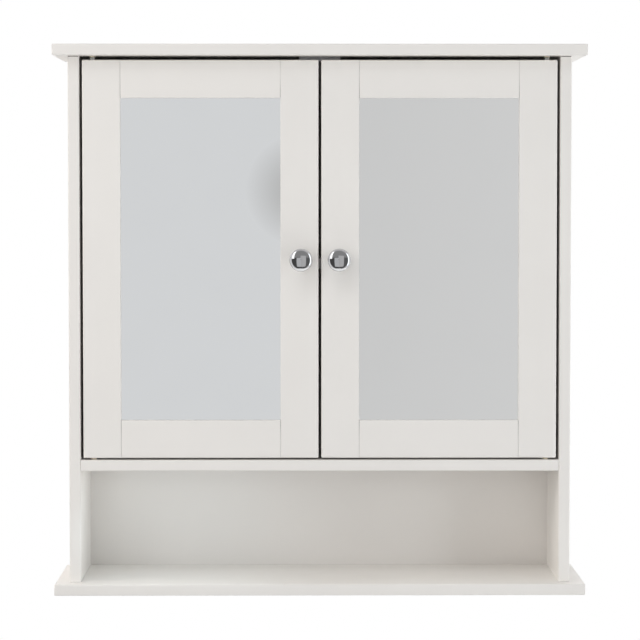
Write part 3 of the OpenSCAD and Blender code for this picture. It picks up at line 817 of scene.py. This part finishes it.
def pan_blank(head, rise, reach):
    """Screw with a domed head: its seat at Z = rise, its point along +Z."""
    shank = head / 2
    profile = [
        (0, 0.0), (head * 0.2, 0.0), (head * 0.36, rise * 0.12), (head * 0.46, rise * 0.4),
        (head / 2, rise * 0.8), (head / 2, rise), (shank / 2, rise),
        (shank / 2, reach - shank * 0.2), (shank * 0.4, reach), (0, reach)]
    return crossed(turned(profile, 40), head * 0.26, shank / 4, rise * 0.7)


def nail_blank(head, reach):
    """Flat-headed nail: its face at Z = 0 and its point along +Z."""
    shank, under = head * 0.4, head * 0.2
    profile = [
        (0, 0.0), (head * 0.44, 0.0), (head / 2, head * 0.05), (head / 2, head * 0.16),
        (head * 0.46, under), (shank / 2, under), (shank / 2, reach - shank * 1.4), (0, reach)]
    return plain_mesh("nail", turned(profile, 20))


def cam_blank(disc, depth):
    """Cam lock: its face at Z = 0 and its body along +Z."""
    lip = disc * 0.03
    profile = [
        (0, lip), (disc / 2 - 3 * lip, lip), (disc / 2 - 2.6 * lip, 0.0), (disc / 2 - lip, 0.0),
        (disc / 2, lip), (disc / 2, depth * 0.3), (disc / 2 - lip, depth * 0.34),
        (disc / 2 - lip, depth * 0.86), (disc / 2, depth * 0.9), (disc / 2, depth), (0, depth)]
    return crossed(turned(profile, 48), disc * 0.3, disc * 0.12, disc * 0.15)


def dowel_blank(across, reach):
    """Fluted dowel with chamfered ends, along +Z from Z = 0."""
    nose = across / 6
    profile = [
        (0, 0.0), (across / 2 - nose, 0.0), (across / 2, nose), (across / 2, reach - nose),
        (across / 2 - nose, reach), (0, reach)]
    return plain_mesh("dowel", turned(profile, 48, 0.95))


def shelf_pin_blank(pin, reach, paddle):
    """Pin along +Z from the side's face at Z = 0, and a rounded paddle under the shelf."""
    root, tip, edge_round = 0.0004, 0.0006, 0.0005
    profile = [(0, -root), (pin / 2, -root), (pin / 2, reach - tip), (pin / 2 - tip, reach), (0, reach)]
    mesh = turned(profile, 32)
    made = bmesh.ops.create_cube(mesh, size=1.0)["verts"]
    for vert in made:
        slope = 0.6 if vert.co.z < 0 and vert.co.x < 0 else 1.0
        vert.co = (vert.co.x * paddle.z * slope, vert.co.y * paddle.y, (vert.co.z - 0.5) * paddle.x)
    edges = {edge for vert in made for edge in vert.link_edges}
    bmesh.ops.bevel(
        mesh, geom=list(edges), offset=edge_round, segments=3, profile=0.5, affect="EDGES")
    return plain_mesh("shelf_pin", mesh)


# Geometry Nodes

def set_out_tree():
    """Tree that stands one fitting at every point, along the point's axis and turned to its face's way."""
    tree = bpy.data.node_groups.new("Set out fittings", "GeometryNodeTree")
    tree.is_modifier = True
    for name, kind in (("Spots", "Geometry"), ("Fitting", "Object"), ("Finish", "Material"),
                       ("Loose turn", "Float"), ("Seed", "Int")):
        tree.interface.new_socket(name, in_out="INPUT", socket_type=f"NodeSocket{kind}")
    tree.interface.new_socket("Fittings", in_out="OUTPUT", socket_type="NodeSocketGeometry")
    given = tree.nodes.new("NodeGroupInput").outputs
    shape = add(tree, "GeometryNodeObjectInfo", {"Object": given["Fitting"]}).outputs["Geometry"]
    axis, face = (
        add(tree, "GeometryNodeInputNamedAttribute", {"Name": name}, data_type="FLOAT_VECTOR")
        for name in ("axis", "face"))
    stood = add(
        tree, "FunctionNodeAlignRotationToVector", {"Vector": axis.outputs["Attribute"]}, axis="Z")
    faced = add(
        tree, "FunctionNodeAlignRotationToVector",
        {"Rotation": stood.outputs[0], "Vector": face.outputs["Attribute"]}, axis="X", pivot_axis="Z")
    loose = add(tree, "FunctionNodeRandomValue", {
        "Min": maths(tree, "MULTIPLY", given["Loose turn"], -1.0),
        "Max": given["Loose turn"], "Seed": given["Seed"]}, data_type="FLOAT")
    turn = next(socket for socket in loose.outputs if socket.type == "VALUE")
    roll = add(tree, "FunctionNodeAxisAngleToRotation", {"Axis": (0, 0, 1), "Angle": turn})
    way_round = add(
        tree, "FunctionNodeRotateRotation",
        {"Rotation": faced.outputs[0], "Rotate By": roll.outputs[0]}, rotation_space="LOCAL")
    stands = add(tree, "GeometryNodeInstanceOnPoints", {
        "Points": given["Spots"], "Instance": shape, "Rotation": way_round.outputs[0]})
    real = add(tree, "GeometryNodeRealizeInstances", {"Geometry": stands.outputs["Instances"]})
    dressed = add(tree, "GeometryNodeSetMaterial", {
        "Geometry": real.outputs["Geometry"], "Material": given["Finish"]})
    add(tree, "NodeGroupOutput", {"Fittings": dressed.outputs["Geometry"]})
    return tree


def set_out(node, blank, spots, loose_turn=0.0, make=zinc):
    """One mesh of the node's fittings: the blank stands at each spot of (point, axis, face)."""
    name = f"{node}_finished"
    points = bpy.data.meshes.new(f"{node}_points")
    points.from_pydata([point for point, _, _ in spots], [], [])
    for column, attribute in ((1, "axis"), (2, "face")):
        layer = points.attributes.new(attribute, "FLOAT_VECTOR", "POINT")
        layer.data.foreach_set("vector", [c for spot in spots for c in spot[column]])
    pattern = in_scene(f"{node}_blank", blank)
    piece = in_scene(name, points)
    tree = bpy.data.node_groups.get("Set out fittings") or set_out_tree()
    nodes = modify(piece, "Set out", "NODES", node_group=tree)
    values = {"Fitting": pattern, "Finish": material(make), "Loose turn": loose_turn, "Seed": SEED}
    for item in tree.interface.items_tree:
        if item.name in values:
            nodes[item.identifier] = values[item.name]
    data = evaluated_mesh(piece)
    data.name = name
    piece.modifiers.remove(nodes)
    piece.data = data
    bpy.data.objects.remove(pattern)
    data.shade_smooth()
    data.set_sharp_from_angle(angle=radians(35))
    settle(piece, node)


def spot(box, axis):
    """A fitting's place on the face of its box that its axis leaves, the axis, and its face's way."""
    point = middle(box)
    for i in range(3):
        if axis[i]:
            point[i] = box[0][i] if axis[i] > 0 else box[1][i]
    return point, axis, RIGHT if axis.z else UP


def spots_along(node, axis):
    return [spot(box, axis) for box in solids(node)]


# Pieces

class CABINET_OT_boards(Operator):
    """Rounds the carcass boards' edges and paints them"""

    bl_idname = "cabinet.boards"
    bl_label = "Carcass boards"

    def execute(self, context):
        for node in BOARDS:
            painted_part(node, paint_seam_shade)
        return {"FINISHED"}


class CABINET_OT_back_panel(Operator):
    """Lacquers the back panel's face and leaves its rear raw"""

    bl_idname = "cabinet.back_panel"
    bl_label = "Back panel"

    def execute(self, context):
        mesh = merged("back_panel")
        lo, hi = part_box("back_panel")
        rim = [
            edge for edge in mesh.edges
            if all(abs(vert.co.y - lo.y) < TOUCH for vert in edge.verts)
            and any(all(abs(vert.co[i] - side[i]) < TOUCH for vert in edge.verts)
                    for i in (0, 2) for side in (lo, hi))]
        # the raw sawn edge round the lacquered face also gives the niche's corners a thin line of painted
        # shade
        bmesh.ops.bevel(mesh, geom=rim, offset=sizes().panel_arris, segments=1, affect="EDGES")
        for face in mesh.faces:
            face.material_index = 0 if face.normal.y < -0.9 else 1
        piece = as_object("back_panel_lacquered", mesh, lacquer, raw_hardboard)
        settle(piece, "back_panel")
        return {"FINISHED"}


class CABINET_OT_door_frames(Operator):
    """Rounds the stiles' and rails' edges and paints them"""

    bl_idname = "cabinet.door_frames"
    bl_label = "Door frames"

    def execute(self, context):
        for hand in HANDS:
            for part in FRAME_PARTS:
                painted_part(f"{hand}_{part}", paint_joint_shade, tight_ends=True)
        return {"FINISHED"}


class CABINET_OT_mirrors(Operator):
    """Makes the mirrors with a ground edge and a painted back"""

    bl_idname = "cabinet.mirrors"
    bl_label = "Mirrors"

    def execute(self, context):
        for hand in HANDS:
            finishes = (silvered_glass, mirror_backing, glass_edge)
            pane(f"{hand}_mirror", "silvered", "mirror_glass", sizes().arris, *finishes)
        return {"FINISHED"}


class CABINET_OT_door_panels(Operator):
    """Makes the panels behind the mirrors, lacquered on the side seen in the open cabinet"""

    bl_idname = "cabinet.door_panels"
    bl_label = "Door panels"

    def execute(self, context):
        for hand in HANDS:
            finishes = (raw_hardboard, lacquer, raw_hardboard)
            pane(f"{hand}_door_panel", "lacquered", "white_hardboard", sizes().arris / 2, *finishes)
        return {"FINISHED"}


class CABINET_OT_knobs(Operator):
    """Turns the knobs and plates them with chrome"""

    bl_idname = "cabinet.knobs"
    bl_label = "Knobs"

    def profile(self, radius, height, bore, bore_depth):
        """Outline from the screw's bore, round the foot, neck and rim, to the middle of the dome."""
        size = sizes()
        face, neck, foot = size.knob_face / 2, size.knob_neck / 2, size.knob_foot / 2
        flare, rim, edge = size.knob_flare, size.knob_rim, size.foot_round
        dome = (face ** 2 + size.knob_dome ** 2) / (2 * size.knob_dome)
        slant, lean = asin(face / dome), size.knob_lean
        slope = (radius - face - rim * (1 - sin(lean))) / (sin(lean) - sin(slant))
        slope_up = height - dome + (dome - slope) * cos(slant)
        slope_out = face - slope * sin(slant)
        rim_up = slope_up + (slope - rim) * cos(lean)
        band_up = rim_up - size.knob_band
        dome_turn, rim_turn = 90 - degrees(slant), 90 - degrees(lean)
        foot_top, neck_low, chamfer = 0.0017, 0.0026, 0.0003
        return [
            (0, bore_depth), (bore, bore_depth), (bore, 0.0),
            (foot, 0.0), *arc((foot - edge, edge), edge, 0, 90, 6), (neck + edge, foot_top),
            *arc((neck + edge, neck_low), edge, 250, 180, 4),
            *arc((neck + flare, height - size.knob_head), flare, 180, 112, 14),
            (radius - chamfer, band_up - chamfer / 3), (radius, band_up + chamfer * 2 / 3),
            *arc((radius - rim, rim_up), rim, 0, rim_turn, 12),
            *arc((slope_out, slope_up), slope, rim_turn, dome_turn, 4)[1:],
            *arc((0, height - dome), dome, dome_turn, 90, 24)[1:],
        ]

    def execute(self, context):
        for hand in HANDS:
            node = f"{hand}_knob"
            lo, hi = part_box(node)
            screw_lo, screw_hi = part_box(f"{hand}_knob_screw")
            bore, bore_depth = (screw_hi.x - screw_lo.x) / 4, hi.y - screw_lo.y
            profile = self.profile((hi.x - lo.x) / 2, hi.y - lo.y, bore, bore_depth)
            mesh = turned(profile, sizes().turning_steps)
            centre = middle((lo, hi))
            face_front(mesh, (centre.x, hi.y, centre.z))
            settle(as_object(f"{node}_chromed", mesh, chrome), node)
        return {"FINISHED"}


class CABINET_OT_knob_screws(Operator):
    """Sets out the screws that hold the knobs"""

    bl_idname = "cabinet.knob_screws"
    bl_label = "Knob screws"

    def execute(self, context):
        for hand in HANDS:
            node = f"{hand}_knob_screw"
            lo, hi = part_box(node)
            rise = hi.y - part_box(f"{hand}_knob_stile")[1].y
            set_out(node, pan_blank(hi.x - lo.x, rise, hi.y - lo.y), spots_along(node, FRONT), pi / 4)
        return {"FINISHED"}


class CABINET_OT_pivots(Operator):
    """Finishes the pivot pins, their nylon bushes and the bottom pins' nylon collars"""

    bl_idname = "cabinet.pivots"
    bl_label = "Pivot hinges"

    def execute(self, context):
        for node in ("top_bushes", "bottom_bushes"):
            fitting(node, nylon)
        for hand in HANDS:
            fitting(f"{hand}_top_pin", pin_steel)
            pin = fitting(f"{hand}_bottom_pin", pin_steel)
            pin.data.materials.append(material(nylon))
            lo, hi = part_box(f"{hand}_bottom_pin")
            collar = (hi.x - lo.x) * 0.45
            for face in pin.data.polygons:
                if (face.center - middle((lo, hi))).to_2d().length > collar:
                    face.material_index = 1
        return {"FINISHED"}


class CABINET_OT_catch(Operator):
    """Finishes the magnetic catch and the strike plates on the doors"""

    bl_idname = "cabinet.catch"
    bl_label = "Magnetic catch"

    def execute(self, context):
        lo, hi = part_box("catch_housing")
        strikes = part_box("left_strike_plate")[1].z
        half = sizes().catch_slot / 2
        slot = block(Vector((-half, lo.y - half, lo.z - half)), Vector((half, hi.y + half, strikes)))
        housing = bmesh.new()
        housing.from_mesh(carved(merged("catch_housing"), slot))
        fitting("catch_housing", catch_plastic, sizes().catch_edge, housing)
        fitting("catch_magnets", ferrite)
        fitting("catch_pole_plates", nickel)
        for hand in HANDS:
            fitting(f"{hand}_strike_plate", nickel)
        return {"FINISHED"}


class CABINET_OT_small_screws(Operator):
    """Sets out the screws of the catch, the strike plates and the bottom board"""

    bl_idname = "cabinet.small_screws"
    bl_label = "Countersunk screws"

    def execute(self, context):
        for node, axis in (("bottom_screws", UP), ("catch_screws", UP),
                           ("left_strike_screw", FRONT), ("right_strike_screw", FRONT)):
            lo, hi = solids(node)[0]
            blank = countersunk_blank(hi.x - lo.x, max(hi - lo))
            set_out(node, blank, spots_along(node, axis), pi / 4)
        return {"FINISHED"}


class CABINET_OT_cam_fittings(Operator):
    """Sets out the cam locks, and plates the bolts that they pull"""

    bl_idname = "cabinet.cam_fittings"
    bl_label = "Cam fittings"

    def execute(self, context):
        spots = []
        for box in solids("cam_locks"):
            span = box[1] - box[0]
            thin = min(range(3), key=lambda i: span[i])
            spots.append(spot(box, (RIGHT if middle(box).x > 0 else LEFT, WALL, UP)[thin]))
        lo, hi = solids("cam_locks")[0]
        set_out("cam_locks", cam_blank(max(hi - lo), min(hi - lo)), spots, radians(20))
        bolts = frame["nodes"]["cam_bolts"].data
        bolts.materials.clear()
        bolts.materials.append(material(zinc))
        return {"FINISHED"}


class CABINET_OT_shelf_pins(Operator):
    """Sets out the pins that carry the inner shelf"""

    bl_idname = "cabinet.shelf_pins"
    bl_label = "Shelf pins"

    def execute(self, context):
        walls = {"left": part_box("left_side")[1].x, "right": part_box("right_side")[0].x}
        spots = []
        for box in solids("shelf_pins"):
            point = middle(box)
            hand, outward = ("left", LEFT) if point.x < 0 else ("right", RIGHT)
            point.x = walls[hand]
            spots.append((point, outward, UP))
        lo, hi = solids("shelf_pins")[-1]
        paddle = Vector((walls["right"] - lo.x, hi.y - lo.y, hi.z - lo.z))
        shoulder = 0.0005
        pin = paddle.z - 2 * shoulder
        set_out("shelf_pins", shelf_pin_blank(pin, hi.x - walls["right"], paddle), spots)
        return {"FINISHED"}


class CABINET_OT_nails(Operator):
    """Sets out the nails through the back panel"""

    bl_idname = "cabinet.nails"
    bl_label = "Back nails"

    def execute(self, context):
        lo, hi = solids("back_nails")[0]
        blank = nail_blank(hi.x - lo.x, hi.y - lo.y)
        set_out("back_nails", blank, spots_along("back_nails", FRONT), pi)
        return {"FINISHED"}


class CABINET_OT_dowels(Operator):
    """Sets out the fluted dowels of the board joints"""

    bl_idname = "cabinet.dowels"
    bl_label = "Dowels"

    def execute(self, context):
        boxes = solids("dowels")
        spots = [spot((lo, hi), UP if hi.z - lo.z > hi.x - lo.x else RIGHT) for lo, hi in boxes]
        span = boxes[0][1] - boxes[0][0]
        set_out("dowels", dowel_blank(min(span), max(span)), spots, make=beech)
        return {"FINISHED"}


# Studio

def aim(thing, target):
    thing.rotation_euler = (target - thing.location).to_track_quat("-Z", "Y").to_euler()


def way(azimuth, elevation):
    """Direction from the cabinet: azimuth turns from the front to the right, elevation rises."""
    level = cos(elevation)
    return Vector((sin(azimuth) * level, -cos(azimuth) * level, sin(elevation)))


def light_paths(tree, *kinds):
    """1 for rays of any of these kinds, else 0."""
    paths = add(tree, "ShaderNodeLightPath").outputs
    mask = paths[kinds[0]]
    for kind in kinds[1:]:
        mask = maths(tree, "MAXIMUM", mask, paths[kind])
    return mask


def set_card(name, mesh, glowing):
    """Part of the studio that only reflections see."""
    made = as_object(name, mesh)
    made.data.materials.append(glowing)
    for kind in ("camera", "diffuse", "transmission", "volume_scatter", "shadow"):
        setattr(made, f"visible_{kind}", False)


def glow(name):
    """Material that only shines, with its tree and its Emission shader."""
    made = bpy.data.materials.new(name)
    made.use_nodes = True
    tree = made.node_tree
    tree.nodes.clear()
    lit = add(tree, "ShaderNodeEmission")
    add(tree, "ShaderNodeOutputMaterial", {"Surface": lit.outputs[0]})
    return made, tree, lit


def painted_card_light_finish():
    """Glowing card behind the camera, seen only in reflections: painted light of a lit grey card, a little
    brighter on the left.
    """
    made, tree, lit = glow("Grey card")
    axes = axes_of(tree, place_on_object(tree))
    across = spread(tree, axes["X"], -0.04, 0.04)
    right = blended(tree, spread(tree, axes["X"], 0.0, 0.5), (0.63, 0.63, 0.63), (0.67, 0.67, 0.67))
    tree.links.new(blended(tree, across, (0.70, 0.71, 0.722), right), lit.inputs["Color"])
    return made


def painted_room_finish():
    """Glowing dome that paints an unlit room into reflections: painted shade, grey above and darkest low on
    the left, with painted light on pale walls at its sides.
    """
    made, tree, lit = glow("Dark studio")
    axes = axes_of(tree, place_on_object(tree))
    sides = blended(tree, spread(tree, axes["X"], -1.0, 1.0), (0.09, 0.09, 0.09), (0.15, 0.15, 0.15))
    room = blended(tree, spread(tree, axes["Z"], 0.2, 0.6), sides, (0.36, 0.36, 0.36))
    walls = blended(tree, spread(tree, axes["Z"], 1.0, 2.0), (1.0, 1.0, 1.0), (0.70, 0.70, 0.70))
    tree.links.new(blended(tree, spread(tree, axes["Y"], -2.3, -2.15), room, walls), lit.inputs["Color"])
    return made


def painted_camera_reflection_finish(centre, radius):
    """Painted reflection of the dark camera: a grey glowing disc with a soft edge, seen in the mirrors."""
    made, tree, lit = glow("Camera shade")
    lit.inputs["Color"].default_value = (0.5, 0.5, 0.5, 1.0)
    from_centre = add(
        tree, "ShaderNodeVectorMath", {0: place_on_object(tree), 1: centre}, operation="DISTANCE")
    clear = spread(tree, from_centre.outputs["Value"], radius * 0.3, radius)
    seen = add(tree, "ShaderNodeMixShader", {
        0: clear, 1: lit.outputs[0], 2: add(tree, "ShaderNodeBsdfTransparent").outputs[0]})
    tree.links.new(seen.outputs[0], tree.nodes["Material Output"].inputs["Surface"])
    return made


def floor_finish():
    """Pale floor that is white to the eye and in reflections but for the cabinet's shadow."""
    made = Finish("Pale floor")
    tree = made.tree
    clouds = made.effect("Sprayed film", Stipple=0.004, Cloud=0.4)["Clouds"]
    made.shade(clouds, (0.80, 0.80, 0.79), (0.84, 0.84, 0.83))
    made.roughness(clouds, 0.8, 0.9)
    strength = maths(tree, "MULTIPLY", light_paths(tree, "Is Camera Ray", "Is Glossy Ray"), 0.7)
    lift = add(tree, "ShaderNodeEmission", {"Color": (1, 1, 1, 1), "Strength": strength})
    both = add(tree, "ShaderNodeAddShader", {0: made.shader.outputs[0], 1: lift.outputs[0]})
    tree.links.new(both.outputs[0], tree.nodes["Material Output"].inputs["Surface"])
    return made.material


class CABINET_OT_studio(Operator):
    """Sets up the camera, soft boxes, floor and surroundings"""

    bl_idname = "cabinet.studio"
    bl_label = "Studio"

    def camera(self):
        setup = studio()
        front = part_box("top_board")[0].y
        centre = middle(CAD_BOX).z
        lens = bpy.data.cameras.new("Camera")
        lens.lens = setup.lens
        lens.shift_y = setup.shift
        made = in_scene("Camera", lens)
        made.location = (-setup.camera_offset, front - setup.camera_distance, centre + setup.camera_rise)
        aim(made, Vector((0, front, centre + setup.aim_rise)))
        bpy.context.scene.camera = made
        return made

    def soft_light(self, name, place, target, width, height, seen=False):
        """Soft light at a place, aimed at a target. Only a seen one shows in reflections."""
        light = bpy.data.lights.new(f"{name}_light", "AREA")
        light.shape = "RECTANGLE"
        light.size, light.size_y = width, height
        light.energy = getattr(studio(), f"{name}_power")
        light.color = getattr(studio(), f"{name}_tint")
        made = in_scene(f"{name}_light", light)
        made.location = place
        aim(made, target)
        made.visible_camera = False
        made.visible_glossy = seen

    def lights(self):
        """Two soft boxes, large lights all round, and two that reach into the niche's ends."""
        target = (middle(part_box("left_knob")) + middle(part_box("right_knob"))) / 2
        for name, (_, _, _, turn, rise, reach, width, height) in LAMPS.items():
            place = target + way(radians(turn), radians(rise)) * reach
            self.soft_light(name, place, target, width, height, name in ("left", "right"))
        low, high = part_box("bottom_board")[1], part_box("divider_shelf")[0]
        mouth = Vector((0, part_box("left_side")[0].y - NICHE_LAMP_GAP, (low.z + high.z) / 2))
        half, rise = -high.x, high.z - low.z
        out, up = NICHE_LAMP_PLACE
        width, height = NICHE_LAMP_SIZE
        for name, (_, _, _, end) in NICHE_LAMPS.items():
            place = mouth + Vector((end * half * out, 0, rise * up))
            self.soft_light(name, place, place + NICHE_LAMP_WAY, half * width, rise * height)

    def surroundings(self, camera):
        """Glowing dome, card and camera disc that paint a dark room, a lit card and the camera into
        reflections only.
        """
        room = turned(arc((0, 0), ROOM_RADIUS, 90, 15, 32), 64)
        face_front(room, (0, 0, 0))
        set_card("studio_dome", room, painted_room_finish())
        card = bmesh.new()
        card.faces.new([card.verts.new((x, -CARD_DISTANCE, z)) for x, z in CARD_OUTLINE])
        set_card("studio_card", card, painted_card_light_finish())
        shade = turned([(0, 0), (CAMERA_SHADE, 0)], 48)
        place = camera.location + FRONT * 0.02
        face_front(shade, place)
        set_card("studio_camera", shade, painted_camera_reflection_finish(place, CAMERA_SHADE))

    def world(self):
        """Even light on everything, and white for the camera and in metal and glass."""
        made = bpy.data.worlds.new("Studio")
        made.use_nodes = True
        tree = made.node_tree
        fill = tree.nodes["Background"]
        fill.inputs["Color"].default_value = (*studio().fill_tint, 1.0)
        fill.inputs["Strength"].default_value = studio().fill
        white = add(tree, "ShaderNodeBackground", {"Color": (1, 1, 1, 1), "Strength": 1.0})
        mask = light_paths(tree, "Is Camera Ray", "Is Glossy Ray", "Is Transmission Ray")
        mixed = add(tree, "ShaderNodeMixShader", {0: mask, 1: fill.outputs[0], 2: white.outputs[0]})
        tree.links.new(mixed.outputs[0], tree.nodes["World Output"].inputs["Surface"])
        bpy.context.scene.world = made

    def floor(self):
        mesh = turned([(0, 0), (FLOOR_RADIUS / 2, 0), (FLOOR_RADIUS, 0)], 64)
        bmesh.ops.translate(mesh, vec=(0, 0, CAD_BOX[0].z - studio().floor_drop), verts=mesh.verts)
        if mesh.faces[:][0].normal.z < 0:
            bmesh.ops.reverse_faces(mesh, faces=mesh.faces)
        as_object("studio_floor", mesh, floor_finish)

    def execute(self, context):
        self.surroundings(self.camera())
        self.lights()
        self.world()
        self.floor()
        context.scene.view_settings.view_transform = "Standard"
        return {"FINISHED"}


class CABINET_PT_steps(Panel):
    """Lists the settings and the steps"""

    bl_label = "Hanging wall cabinet"
    bl_space_type = "VIEW_3D"
    bl_region_type = "UI"
    bl_category = "Cabinet"

    def draw(self, context):
        for title in SETTINGS:
            box = self.layout.box()
            settings = getattr(context.scene, title)
            for name in settings.__annotations__:
                box.prop(settings, name)
        for step in STEPS:
            self.layout.operator(step.bl_idname)


STEPS = (
    CABINET_OT_studio, CABINET_OT_boards, CABINET_OT_back_panel, CABINET_OT_door_frames, CABINET_OT_mirrors,
    CABINET_OT_door_panels, CABINET_OT_knobs, CABINET_OT_knob_screws, CABINET_OT_pivots, CABINET_OT_catch,
    CABINET_OT_small_screws, CABINET_OT_cam_fittings, CABINET_OT_shelf_pins, CABINET_OT_nails,
    CABINET_OT_dowels,
)
SETTINGS = {
    "cabinet_finish": CabinetFinish, "cabinet_sizes": CabinetSizes, "cabinet_studio": CabinetStudio,
}
CLASSES = (*SETTINGS.values(), *STEPS, CABINET_PT_steps)


def register():
    for each in CLASSES:
        bpy.utils.register_class(each)
    for name, group in SETTINGS.items():
        setattr(bpy.types.Scene, name, PointerProperty(type=group))


def unregister():
    for name in SETTINGS:
        delattr(bpy.types.Scene, name)
    for each in reversed(CLASSES):
        bpy.utils.unregister_class(each)


def main():
    """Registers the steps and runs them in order."""
    register()
    for step in STEPS:
        getattr(bpy.ops.cabinet, step.bl_idname.split(".")[1])()


if __name__ == "__main__":
    main()
